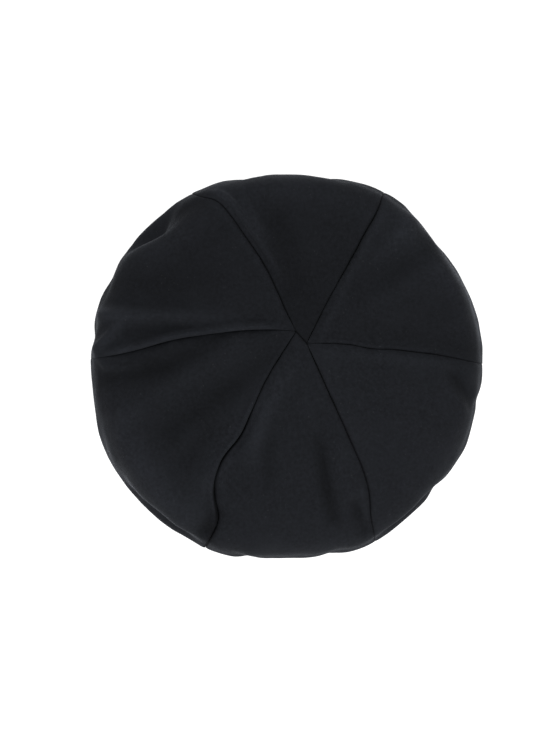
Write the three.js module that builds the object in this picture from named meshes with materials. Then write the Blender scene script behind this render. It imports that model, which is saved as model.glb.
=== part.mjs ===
// A slouch beanie at rest on a table: six gores of soft black wool cloth, sewn together in two halves of
// three and set on a plain headband. Millimetres, +Z up. The origin lies on the table, under the middle of
// the crown. -Y is the front of the hat and +Y its back, where the loose cloth falls. Left is -X.

import * as THREE from "three";

// ---- Driving sizes ----

const CROWN_WIDTH = 280; // across the crown, left to right, at its widest
const HEAD_GIRTH = 580; // round the inside of the headband
const CLOTH = 2; // thickness of the wool cloth
const SEAM_GAP = 0.3; // clear space between two pieces that are sewn together
const BAND_HEIGHT = 24;
const BAND_THICKNESS = 3; // the band is a strip of thinner cloth folded double
const BAND_ROUND = 0.75; // radius of the band's four edges
const TIP_CUT = 1.6; // how far short of their meeting point the gores' tips end
const TIP_FLAT = 0.02; // the share of the cloth's run, from the tip, over which it turns level
const PUFF_FULLNESS = 0.7; // below 1, a gore's puff is fuller towards its seams

// How finely the solids are cut into faces.
const GORE_CELLS = 14; // faces across one gore
const BAND_STEPS = 64; // faces round the headband
const BAND_ROUND_CELLS = 2; // faces round each of its edges
const NORMAL_STEP = 0.004; // how far apart a surface is read to find its normal

const WEAR_BLACK = 0x1e2023;
const UP = new THREE.Vector3(0, 0, 1);
const BAND_RADIUS = HEAD_GIRTH / (2 * Math.PI);

// ---- Tables ----

// The two points where the gores' tips meet: three seams run to each, and a short seam joins them.
const TIPS = {
  left: new THREE.Vector3(7, 24.5, 0),
  right: new THREE.Vector3(14.5, 16, 0),
};

// The six seams, anticlockwise from above. A seam meets the crown's outline in the direction deg, proud mm
// outside a circle of the crown's width. bow is how far it strays to its anticlockwise side at every eighth
// of the way out.
const SEAMS = [
  { name: "right", tip: "right", deg: 0.6, proud: 0.2, bow: [2, 2.4, 1.6, 2.8, 2.8, 2.6, 1.6] },
  { name: "back_right", tip: "right", deg: 60.5, proud: 1.9, bow: [0.3, 0.5, 0, -0.5, -0.9, -1.2, -1.8] },
  { name: "back_left", tip: "left", deg: 118.5, proud: 0.6, bow: [-3, -6.5, -9.5, -11, -11.5, -12, -10] },
  { name: "left", tip: "left", deg: 178, proud: -0.2, bow: [-3.8, -5.6, -6.3, -6.2, -5, -2.2, -0.5] },
  { name: "front_left", tip: "left", deg: 246, proud: 1.4, bow: [-3.6, -6.5, -7.1, -7.8, -12.8, -10.4, 0] },
  { name: "front_right", tip: "right", deg: 297, proud: 0.9, bow: [1.6, 3.2, 5, 6.6, 8, 7.2, 2.6] },
];

// The gore that follows each seam. deg and proud place the middle of its outline, as they do a seam's end.
// puff is how far its middle stands out between its seams, and sag how far it hangs below them at the rim.
const GORES = [
  { name: "gore_back_right", deg: 30, proud: -1, puff: 2.6, sag: 2.5 },
  { name: "gore_back", deg: 90, proud: -3.6, puff: 2, sag: 1.5 },
  { name: "gore_back_left", deg: 149, proud: -0.8, puff: 2.8, sag: 1 },
  { name: "gore_front_left", deg: 215, proud: 2.6, puff: 2.6, sag: 3 },
  { name: "gore_front", deg: 271, proud: -3.4, puff: 2.4, sag: 2 },
  { name: "gore_front_right", deg: 329, proud: -1.8, puff: 3, sag: 3.5 },
];

// The cloth's run from the tip out over the rim and back in to the band. reach is the share of the way out
// to the rim, from the tip on the top and from the band below. front and back are the heights on those two
// sides. puff, sag and tuck are the shares of a gore's puff and sag and of a tuck's depth that show there.
// cells is the number of rows of faces from there to the next place.
const RUN = [
  { place: "tip", reach: 0, front: 62, back: 62, puff: 0, sag: 0, tuck: 0, cells: 3 },
  { place: "top", reach: 0.2, front: 62.4, back: 58.6, puff: 0.45, sag: 0, tuck: 0, cells: 3 },
  { place: "top", reach: 0.4, front: 61.6, back: 55.2, puff: 0.8, sag: 0, tuck: 0, cells: 3 },
  { place: "top", reach: 0.6, front: 59.4, back: 51.8, puff: 1, sag: 0, tuck: 0, cells: 3 },
  { place: "top", reach: 0.78, front: 56.2, back: 48.2, puff: 1, sag: 0.2, tuck: 0, cells: 2 },
  { place: "shoulder", reach: 0.9, front: 51.6, back: 44, puff: 0.9, sag: 0.6, tuck: 0.35, cells: 2 },
  { place: "upper_roll", reach: 0.965, front: 44.8, back: 38, puff: 0.6, sag: 1, tuck: 1, cells: 2 },
  { place: "waist", reach: 0.992, front: 36, back: 30.4, puff: 0.4, sag: 1, tuck: 1, cells: 2 },
  { place: "rim", reach: 1, front: 26, back: 22, puff: 0.3, sag: 1, tuck: 0, cells: 2 },
  { place: "lower_roll", reach: 0.94, front: 13, back: 11, puff: 0.3, sag: 0.6, tuck: 0, cells: 2 },
  { place: "underside", reach: 0.7, front: 6.8, back: 6.2, puff: 0.4, sag: 0.2, tuck: 0, cells: 2 },
  { place: "underside", reach: 0.36, front: 12.6, back: 11.2, puff: 0.4, sag: 0, tuck: 0, cells: 2 },
  { place: "band", reach: 0, front: 25.3, back: 25.3, puff: 0, sag: 0, tuck: 0, cells: 0 },
];
const runAt = (place) => RUN.findIndex((row) => row.place === place) / (RUN.length - 1);
const RIM = runAt("rim");
const TOP_END = runAt("shoulder");
const SIDE_END = (runAt("lower_roll") + 1) / 2;

// The band's soft waver from a true circle: so many lobes round it, each share of its radius high.
const BAND_WAVERS = [
  { lobes: 2, share: 0.008, start_deg: -57 },
  { lobes: 3, share: 0.005, start_deg: 29 },
];

// Where loose cloth rolls over itself at the rim: the roll draws in by depth, and the waist right under it
// by under besides, while the rim below stands out past both.
const TUCKS = [
  { name: "back_left", deg: 137, half_deg: 11, depth: 3, under: 4 },
  { name: "back_left_end", deg: 129, half_deg: 12, depth: 5, under: 0 },
  { name: "front_left", deg: 232, half_deg: 17, depth: 0.8, under: 5 },
  { name: "front_right", deg: 308, half_deg: 16, depth: 0, under: 5 },
];

// Ridges (lift above 0) and valleys (below 0) in the top, each on a path of points [x, y, lift]. width is
// half its breadth.
const FOLDS = [
  { name: "back_left_ridge", width: 7, path: [[-45, 122, 2.6], [-27, 102, 2.8], [-4, 62, 0.8]] },
  { name: "back_right_ridge", width: 9, path: [[62, 72, 0.8], [88, 104, 2.2]] },
  { name: "back_right_valley", width: 11, path: [[50, 53, -0.7], [100, 82, -1.1]] },
  { name: "left_ridge", width: 8, path: [[-130, 38, 3.6], [-84, 38, 2.6], [-35, 31, 0.8]] },
  { name: "left_rim_crease", width: 4, path: [[-134, 12, 1.6], [-119, 27, 1.2]] },
  { name: "left_valley", width: 8, path: [[-132, -9, -2.8], [-86, 0, -2.8], [-48, 20, -1]] },
  { name: "front_left_ridge", width: 9, path: [[-106, -31, 2], [-34, 16, 1.4]] },
  { name: "front_left_valley", width: 8, path: [[-4, 16, -0.8], [-37, -13, -2.4], [-83, -45, -1.7]] },
  { name: "front_left_lip", width: 7, path: [[-28, -30, 1.4], [-54, -78, 3.4]] },
  { name: "front_left_dimple", width: 6, path: [[-51, -104, -2.6], [-57, -116, -3.6]] },
  { name: "front_ridge", width: 7, path: [[2, 4, 0.6], [-16, -24, 1.3], [-25, -66, 1.5]] },
  { name: "front_crease", width: 5, path: [[22, -50, -1.2], [27, -80, -2.4], [33, -106, -2.8]] },
  { name: "front_right_crease", width: 5, path: [[48, -97, -1.6], [56, -116, -2.4]] },
  { name: "right_rim_dimple", width: 6, path: [[119, -7, -1.6], [131, -27, -2.6]] },
];

// Ridges and valleys in the side, each from one direction and height to another, in degrees and mm.
const SIDE_FOLDS = [
  { name: "back_right_swell", deg0: 6, z0: 18, deg1: 30, z1: 12, width: 7, lift: 1.6 },
  { name: "back_right_drape", deg0: 24, z0: 44, deg1: 48, z1: 14, width: 8, lift: -2 },
  { name: "back_right_lap", deg0: 54, z0: 24, deg1: 68, z1: 14, width: 7, lift: 1.4 },
  { name: "back_drape_right", deg0: 74, z0: 34, deg1: 84, z1: 12, width: 7, lift: -1.8 },
  { name: "back_drape_left", deg0: 104, z0: 30, deg1: 96, z1: 12, width: 7, lift: -1.6 },
  { name: "back_left_drape", deg0: 160, z0: 40, deg1: 148, z1: 14, width: 7, lift: -2 },
  { name: "left_drape", deg0: 166, z0: 46, deg1: 176, z1: 14, width: 7, lift: -2.4 },
  { name: "front_left_swell", deg0: 190, z0: 36, deg1: 206, z1: 18, width: 8, lift: 1.8 },
  { name: "front_left_drape", deg0: 206, z0: 46, deg1: 220, z1: 32, width: 6, lift: -2 },
  { name: "front_drape_left", deg0: 254, z0: 44, deg1: 264, z1: 12, width: 6, lift: -2.2 },
  { name: "front_drape_right", deg0: 286, z0: 38, deg1: 279, z1: 14, width: 7, lift: -2.4 },
  { name: "front_right_drape", deg0: 316, z0: 46, deg1: 324, z1: 12, width: 7, lift: -2.2 },
  { name: "front_right_swell", deg0: 330, z0: 34, deg1: 342, z1: 14, width: 8, lift: 1.6 },
  { name: "right_drape", deg0: 346, z0: 44, deg1: 352, z1: 18, width: 6, lift: -1.6 },
];

// ---- Helpers ----

const radians = (deg) => THREE.MathUtils.degToRad(deg);
const around = (list, index) => list[THREE.MathUtils.euclideanModulo(index, list.length)];

// The angle from one direction to another, in radians from -PI to PI.
const turn = (from, to) => THREE.MathUtils.euclideanModulo(to - from + Math.PI, 2 * Math.PI) - Math.PI;

// The point on the crown's outline that a row of SEAMS or GORES gives.
function outlinePoint({ deg, proud }) {
  const direction = new THREE.Vector3(Math.cos(radians(deg)), Math.sin(radians(deg)), 0);
  return direction.setLength(CROWN_WIDTH / 2 + proud);
}

// A smooth curve through evenly spaced values; x runs from 0 at the first to 1 at the last.
function smooth(values, x) {
  const last = values.length - 1;
  const span = THREE.MathUtils.clamp(Math.floor(x * last), 0, last - 1);
  const t = x * last - span;
  const [b, c] = [values[span], values[span + 1]];
  const a = span > 0 ? values[span - 1] : 2 * b - c;
  const d = span + 2 <= last ? values[span + 2] : 2 * c - b;
  return b + (t / 2) * (c - a + t * (2 * a - 5 * b + 4 * c - d + t * (3 * (b - c) + d - a)));
}

const column = (name) => RUN.map((row) => row[name]);
const REACH = column("reach");
const FRONT = column("front");
const BACK = column("back");
const PUFF = column("puff");
const SAG = column("sag");
const TUCK = column("tuck");
const UNDER = RUN.map(({ place }) => (place === "waist" ? 1 : 0));

// ---- The cloth's form ----
// place goes anticlockwise round the hat from 0 to 6, whole at each seam. run goes along the cloth, from 0
// at the tip, over the rim, to 1 at the band.

const OUTLINE = new THREE.CatmullRomCurve3(
  SEAMS.flatMap((seam, index) => [outlinePoint(seam), outlinePoint(GORES[index])]),
  true,
  "catmullrom",
);

const outlineAt = (place) => OUTLINE.getPoint(THREE.MathUtils.euclideanModulo(place / SEAMS.length, 1));

// The inner radius of the band in one direction.
function bandRadius(angle) {
  let share = 1;
  for (const waver of BAND_WAVERS) {
    share += waver.share * Math.cos(waver.lobes * angle - radians(waver.start_deg));
  }
  return BAND_RADIUS * share;
}

function seamBow(seam, index, reach) {
  const chord = outlineAt(index).sub(TIPS[seam.tip]);
  const side = new THREE.Vector3(-chord.y, chord.x, 0).normalize();
  return side.multiplyScalar(smooth([0, ...seam.bow, 0], reach));
}

// The smooth form, before its gores puff out and its folds are laid in.
function formAt(place, run) {
  const rim = outlineAt(place);
  const reach = smooth(REACH, run);
  const angle = Math.atan2(rim.y, rim.x);
  const point = new THREE.Vector3();
  if (run < RIM) {
    const index = Math.floor(place);
    const across = place - index;
    const [seam, next] = [around(SEAMS, index), around(SEAMS, index + 1)];
    point.lerpVectors(TIPS[seam.tip], TIPS[next.tip], across).lerp(rim, reach);
    point.add(seamBow(seam, index, reach).lerp(seamBow(next, index + 1, reach), across));
  } else {
    const inner = bandRadius(angle) + BAND_THICKNESS / 2;
    point.copy(rim).setLength(inner).lerp(rim, reach);
  }
  for (const tuck of TUCKS) {
    const share = Math.min(1, Math.abs(turn(radians(tuck.deg), angle)) / radians(tuck.half_deg));
    const pull = tuck.depth * smooth(TUCK, run) + tuck.under * smooth(UNDER, run);
    point.setLength(point.length() - pull * Math.cos((share * Math.PI) / 2) ** 2);
  }
  const backness = (1 + Math.sin(angle)) / 2;
  const sag = around(GORES, Math.floor(place)).sag * Math.sin(Math.PI * (place - Math.floor(place)));
  point.z = THREE.MathUtils.lerp(smooth(FRONT, run), smooth(BACK, run), backness);
  point.z -= sag * smooth(SAG, run);
  return point;
}

// How much of a fold shows at an offset from the start of its line: the share of the way along it, and the
// share of its height.
function foldShare(offset, line, width) {
  const along = THREE.MathUtils.clamp(offset.dot(line) / line.lengthSq(), 0, 1);
  const off = offset.distanceTo(line.clone().multiplyScalar(along));
  return [along, Math.exp(-((off / width) ** 2))];
}

// The height of the folds at a point of the top. Each fold counts by the nearest stretch of its path.
function topFolds({ x, y }) {
  let lift = 0;
  for (const { path, width } of FOLDS) {
    let [most, height] = [0, 0];
    for (let stretch = 0; stretch + 1 < path.length; stretch += 1) {
      const [[x0, y0, lift0], [x1, y1, lift1]] = path.slice(stretch);
      const line = new THREE.Vector2(x1 - x0, y1 - y0);
      const [along, share] = foldShare(new THREE.Vector2(x - x0, y - y0), line, width);
      if (share > most) {
        most = share;
        height = share * THREE.MathUtils.lerp(lift0, lift1, along);
      }
    }
    lift += height;
  }
  return lift;
}

// The height of the folds at a point of the side, which is read as if it were unrolled flat.
function sideFolds(point) {
  const radius = CROWN_WIDTH / 2;
  const angle = Math.atan2(point.y, point.x);
  let lift = 0;
  for (const fold of SIDE_FOLDS) {
    const line = new THREE.Vector2(radius * radians(fold.deg1 - fold.deg0), fold.z1 - fold.z0);
    const offset = new THREE.Vector2(radius * turn(radians(fold.deg0), angle), point.z - fold.z0);
    lift += fold.lift * foldShare(offset, line, fold.width)[1];
  }
  return lift;
}

// The outward normal of a surface that is given as a function of place and run. It stands upright at the
// tips, where the gores meet.
function normalOf(surface, place, run) {
  const high = Math.min(1, run + NORMAL_STEP);
  const low = Math.min(high - NORMAL_STEP, Math.max(NORMAL_STEP, run - NORMAL_STEP));
  const outward = surface(place, high).sub(surface(place, low));
  const sideways = surface(place + NORMAL_STEP, run).sub(surface(place - NORMAL_STEP, run));
  const normal = outward.cross(sideways).normalize();
  return normal.lerp(UP, 1 - THREE.MathUtils.smoothstep(run, 0, TIP_FLAT)).normalize();
}

// The outer face of the cloth.
function clothAt(place, run) {
  const point = formAt(place, run);
  const across = place - Math.floor(place);
  const gore = around(GORES, Math.floor(place));
  const puff = gore.puff * Math.sin(Math.PI * across) ** PUFF_FULLNESS * smooth(PUFF, run);
  const offTop = THREE.MathUtils.smoothstep(run, TOP_END, RIM);
  const onSide = offTop * (1 - THREE.MathUtils.smoothstep(run, RIM, SIDE_END));
  const lift = puff + (1 - offTop) * topFolds(point) + onSide * sideFolds(point);
  return point.addScaledVector(normalOf(formAt, place, run), lift);
}

// ---- Solids ----

// A closed shell between two grids of points, rows of equal length, whose faces point out of the outer one.
function shell(outer, inner) {
  const [rows, columns] = [outer.length, outer[0].length];
  const positions = [...outer, ...inner].flat().flatMap((point) => point.toArray());
  const outerAt = (row, index) => row * columns + index;
  const innerAt = (row, index) => (rows + row) * columns + index;
  const faces = [];
  const quad = (a, b, c, d) => faces.push(a, b, c, a, c, d);
  for (let row = 0; row + 1 < rows; row += 1) {
    for (let index = 0; index + 1 < columns; index += 1) {
      const [next, right] = [row + 1, index + 1];
      quad(outerAt(row, index), outerAt(next, index), outerAt(next, right), outerAt(row, right));
      quad(innerAt(row, index), innerAt(row, right), innerAt(next, right), innerAt(next, index));
    }
    const last = columns - 1;
    quad(outerAt(row, 0), innerAt(row, 0), innerAt(row + 1, 0), outerAt(row + 1, 0));
    quad(outerAt(row, last), outerAt(row + 1, last), innerAt(row + 1, last), innerAt(row, last));
  }
  for (let index = 0; index + 1 < columns; index += 1) {
    const end = rows - 1;
    quad(outerAt(0, index), outerAt(0, index + 1), innerAt(0, index + 1), innerAt(0, index));
    quad(outerAt(end, index), innerAt(end, index), innerAt(end, index + 1), outerAt(end, index + 1));
  }
  const geometry = new THREE.BufferGeometry();
  geometry.setAttribute("position", new THREE.Float32BufferAttribute(positions, 3));
  geometry.setIndex(faces);
  geometry.computeVertexNormals();
  return geometry;
}

// The runs at which a gore's rows of points lie. A gore whose seams meet at one point ends a little short
// of it, and one whose tip is the short seam ends half a gap from that.
function rowRuns(index) {
  const pointed = around(SEAMS, index).tip === around(SEAMS, index + 1).tip;
  const pace = formAt(index + 0.5, NORMAL_STEP).distanceTo(formAt(index + 0.5, 0)) / NORMAL_STEP;
  const spans = RUN.length - 1;
  const runs = RUN.flatMap(({ cells }, row) =>
    Array.from({ length: cells }, (_, cell) => (row + cell / cells) / spans));
  runs[0] = (pointed ? TIP_CUT : SEAM_GAP / 2) / pace;
  return [...runs, 1];
}

function goreGeometry(index) {
  const outer = [];
  const inner = [];
  for (const run of rowRuns(index)) {
    const width = clothAt(index, run).distanceTo(clothAt(index + 1, run));
    const inset = SEAM_GAP / 2 / width;
    const places = Array.from({ length: GORE_CELLS + 1 }, (_, cell) =>
      index + THREE.MathUtils.lerp(inset, 1 - inset, cell / GORE_CELLS));
    outer.push(places.map((place) => clothAt(place, run)));
    inner.push(places.map((place) =>
      clothAt(place, run).addScaledVector(normalOf(clothAt, place, run), -CLOTH)));
  }
  return shell(outer, inner);
}

// The band: a strip on edge with rounded edges, spun round the head and then given its waver.
function bandGeometry() {
  const [inside, outside] = [BAND_RADIUS, BAND_RADIUS + BAND_THICKNESS];
  const section = new THREE.Path();
  section.moveTo(outside - BAND_ROUND, 0);
  section.quadraticCurveTo(outside, 0, outside, BAND_ROUND);
  section.lineTo(outside, BAND_HEIGHT - BAND_ROUND);
  section.quadraticCurveTo(outside, BAND_HEIGHT, outside - BAND_ROUND, BAND_HEIGHT);
  section.lineTo(inside + BAND_ROUND, BAND_HEIGHT);
  section.quadraticCurveTo(inside, BAND_HEIGHT, inside, BAND_HEIGHT - BAND_ROUND);
  section.lineTo(inside, BAND_ROUND);
  section.quadraticCurveTo(inside, 0, inside + BAND_ROUND, 0);
  section.closePath();
  const geometry = new THREE.LatheGeometry(section.getPoints(BAND_ROUND_CELLS), BAND_STEPS);
  geometry.rotateX(Math.PI / 2);
  const positions = geometry.getAttribute("position");
  for (let i = 0; i < positions.count; i += 1) {
    const angle = Math.atan2(positions.getY(i), positions.getX(i));
    const share = bandRadius(angle) / BAND_RADIUS;
    positions.setXY(i, positions.getX(i) * share, positions.getY(i) * share);
  }
  geometry.computeVertexNormals();
  return geometry;
}

// ---- The hat ----

const wool = new THREE.MeshStandardMaterial({ color: WEAR_BLACK, roughness: 0.95, metalness: 0 });

function piece(name, geometry) {
  const mesh = new THREE.Mesh(geometry, wool);
  mesh.name = name;
  return mesh;
}

const beanie = new THREE.Group();
GORES.forEach((gore, index) => beanie.add(piece(gore.name, goreGeometry(index))));
beanie.add(piece("headband", bandGeometry()));

export default beanie;
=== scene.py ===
"""A slouch beanie of black wool cloth, at rest on a table: six sewn gores and a folded headband.

The cloth's form is worked out in millimetres from the tables below, and every mesh is made in
metres. +Z is up, -Y the front of the hat and +Y its back, and the origin lies on the table under
the middle of the crown.
"""

import math
from collections import namedtuple

import bpy
import numpy as np
from bpy.props import FloatProperty, FloatVectorProperty, PointerProperty
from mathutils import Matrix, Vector


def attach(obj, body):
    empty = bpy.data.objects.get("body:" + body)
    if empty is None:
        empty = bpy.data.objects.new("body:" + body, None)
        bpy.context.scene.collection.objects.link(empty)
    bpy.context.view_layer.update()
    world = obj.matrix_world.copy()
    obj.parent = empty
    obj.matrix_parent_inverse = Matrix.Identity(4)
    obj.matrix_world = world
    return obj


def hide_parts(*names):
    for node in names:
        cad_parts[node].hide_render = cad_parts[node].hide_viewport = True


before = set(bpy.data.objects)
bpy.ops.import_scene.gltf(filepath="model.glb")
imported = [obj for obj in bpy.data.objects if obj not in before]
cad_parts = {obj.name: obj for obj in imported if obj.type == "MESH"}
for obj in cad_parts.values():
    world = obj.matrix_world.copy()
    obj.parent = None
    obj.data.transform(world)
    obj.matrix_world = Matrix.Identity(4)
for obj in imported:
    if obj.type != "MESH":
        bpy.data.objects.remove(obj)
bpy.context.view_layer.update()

bl_info = {
    "name": "Slouch Beanie",
    "version": (1, 0, 0),
    "blender": (4, 5, 0),
    "location": "View3D > Sidebar > Beanie",
    "description": "Models a slouch beanie of sewn wool gores on a headband, with a studio stage",
    "category": "Add Mesh",
}

MM = 0.001
BODY = "root"

# ---- Tables of the cloth's form, in millimetres and degrees ----

CROWN_WIDTH = 280
HEAD_GIRTH = 580
BAND_RADIUS = HEAD_GIRTH / (2 * math.pi)

# The two points where the gores' tips meet. A short seam joins them.
TIPS = {"left": (7, 24.5), "right": (14.5, 16)}

# A seam meets the outline in the direction deg, proud mm outside a circle of the crown's width.
# bow is how far it strays to its anticlockwise side at every eighth of the way out.
Seam = namedtuple("Seam", "name tip deg proud bow")
SEAMS = (
    Seam("right", "right", 0.6, 0.2, (2, 2.4, 1.6, 2.8, 2.8, 2.6, 1.6)),
    Seam("back_right", "right", 60.5, 1.9, (0.3, 0.5, 0, -0.5, -0.9, -1.2, -1.8)),
    Seam("back_left", "left", 118.5, 0.6, (-3, -6.5, -9.5, -11, -11.5, -12, -10)),
    Seam("left", "left", 178, -0.2, (-3.8, -5.6, -6.3, -6.2, -5, -2.2, -0.5)),
    Seam("front_left", "left", 246, 1.4, (-3.6, -6.5, -7.1, -7.8, -12.8, -10.4, 0)),
    Seam("front_right", "right", 297, 0.9, (1.6, 3.2, 5, 6.6, 8, 7.2, 2.6)),
)

# The gore that follows each seam. puff is how far its middle stands out, and sag how far it hangs
# at the rim.
Gore = namedtuple("Gore", "name deg proud puff sag")
GORES = (
    Gore("gore_back_right", 30, -1, 2.6, 2.5),
    Gore("gore_back", 90, -3.6, 2, 1.5),
    Gore("gore_back_left", 149, -0.8, 2.8, 1),
    Gore("gore_front_left", 215, 2.6, 2.6, 3),
    Gore("gore_front", 271, -3.4, 2.4, 2),
    Gore("gore_front_right", 329, -1.8, 3, 3.5),
)
SIDES = len(SEAMS)  # how many seams there are, and how many gores

# The cloth's run from the tip out over the rim and back in to the band. reach is the share of the
# way out, front and back are heights, and puff, sag, tuck and under are the shares of those that
# show there.
Run = namedtuple("Run", "place reach front back puff sag tuck under")
RUN = (
    Run("tip", 0, 62, 62, 0, 0, 0, 0),
    Run("top", 0.2, 62.4, 58.6, 0.45, 0, 0, 0),
    Run("top", 0.4, 61.6, 55.2, 0.8, 0, 0, 0),
    Run("top", 0.6, 59.4, 51.8, 1, 0, 0, 0),
    Run("top", 0.78, 56.2, 48.2, 1, 0.2, 0, 0),
    Run("shoulder", 0.9, 51.6, 44, 0.9, 0.6, 0.35, 0),
    Run("upper_roll", 0.965, 44.8, 38, 0.6, 1, 1, 0),
    Run("waist", 0.992, 36, 30.4, 0.4, 1, 1, 1),
    Run("rim", 1, 26, 22, 0.3, 1, 0, 0),
    Run("lower_roll", 0.94, 13, 11, 0.3, 0.6, 0, 0),
    Run("underside", 0.7, 6.8, 6.2, 0.4, 0.2, 0, 0),
    Run("underside", 0.36, 12.6, 11.2, 0.4, 0, 0, 0),
    Run("band", 0, 25.3, 25.3, 0, 0, 0, 0),
)
RUN_AT = {row.place: index / (len(RUN) - 1) for index, row in enumerate(RUN)}
RIM = RUN_AT["rim"]
TOP_END = RUN_AT["shoulder"]
SIDE_END = (RUN_AT["lower_roll"] + 1) / 2
PUFF_FULLNESS = 0.7  # how full a gore's puff is towards its seams: the lower, the fuller

# The band's soft waver from a true circle: so many lobes round it, each share of its radius high.
Waver = namedtuple("Waver", "lobes share start_deg")
BAND_WAVERS = (Waver(2, 0.008, -57), Waver(3, 0.005, 29))

# Where loose cloth rolls over itself at the rim: how far the roll draws in, and how far the cloth
# under it is drawn in besides.
Tuck = namedtuple("Tuck", "name deg half_deg depth under")
TUCKS = (
    Tuck("back_left", 137, 11, 3, 4),
    Tuck("back_left_end", 133, 10.5, 6, 0),
    Tuck("front_left", 232, 17, 0.8, 5),
    Tuck("front_right", 308, 16, 0, 5),
)

# Ridges (lift above 0) and valleys in the top, each on a path of points (x, y, lift). width is
# half its breadth.
Fold = namedtuple("Fold", "name width path")
FOLDS = (
    Fold("back_left_ridge", 7, ((-45, 122, 2.6), (-27, 102, 2.8), (-4, 62, 0.8))),
    Fold("back_right_ridge", 9, ((62, 72, 0.8), (88, 104, 2.2))),
    Fold("back_right_valley", 11, ((50, 53, -0.7), (100, 82, -1.1))),
    Fold("left_ridge", 8, ((-130, 38, 3.6), (-84, 38, 2.6), (-35, 31, 0.8))),
    Fold("left_rim_crease", 4, ((-134, 12, 1.6), (-119, 27, 1.2))),
    Fold("left_valley", 8, ((-132, -9, -2.8), (-86, 0, -2.8), (-48, 20, -1))),
    Fold("front_left_ridge", 9, ((-106, -31, 2), (-34, 16, 1.4))),
    Fold("front_left_valley", 8, ((-4, 16, -0.8), (-37, -13, -2.4), (-83, -45, -1.7))),
    Fold("front_left_lip", 7, ((-28, -30, 1.4), (-54, -78, 3.4))),
    Fold("front_left_dimple", 6, ((-51, -104, -2.6), (-57, -116, -3.6))),
    Fold("front_ridge", 7, ((2, 4, 0.6), (-16, -24, 1.3), (-25, -66, 1.5))),
    Fold("front_crease", 5, ((22, -50, -1.2), (27, -80, -2.4), (33, -106, -2.8))),
    Fold("front_right_crease", 5, ((48, -97, -1.6), (56, -116, -2.4))),
    Fold("right_rim_dimple", 6, ((119, -7, -1.6), (131, -27, -2.6))),
)

# Ridges and valleys in the side, each from one direction and height to another.
SideFold = namedtuple("SideFold", "name deg0 z0 deg1 z1 width lift")
SIDE_FOLDS = (
    SideFold("back_right_swell", 6, 18, 30, 12, 7, 1.6),
    SideFold("back_right_drape", 24, 44, 48, 14, 8, -2),
    SideFold("back_right_lap", 54, 24, 68, 14, 7, 1.4),
    SideFold("back_drape_right", 74, 34, 84, 12, 7, -1.8),
    SideFold("back_drape_left", 104, 30, 96, 12, 7, -1.6),
    SideFold("back_left_drape", 160, 40, 148, 14, 7, -2),
    SideFold("left_drape", 166, 46, 176, 14, 7, -2.4),
    SideFold("front_left_swell", 190, 36, 206, 18, 8, 1.8),
    SideFold("front_left_drape", 206, 46, 220, 32, 6, -2),
    SideFold("front_drape_left", 254, 44, 264, 12, 6, -2.2),
    SideFold("front_drape_right", 286, 38, 279, 14, 7, -2.4),
    SideFold("front_right_drape", 316, 46, 324, 12, 7, -2.2),
    SideFold("front_right_swell", 330, 34, 342, 14, 8, 1.6),
    SideFold("right_drape", 346, 44, 352, 18, 6, -1.6),
)

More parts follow.
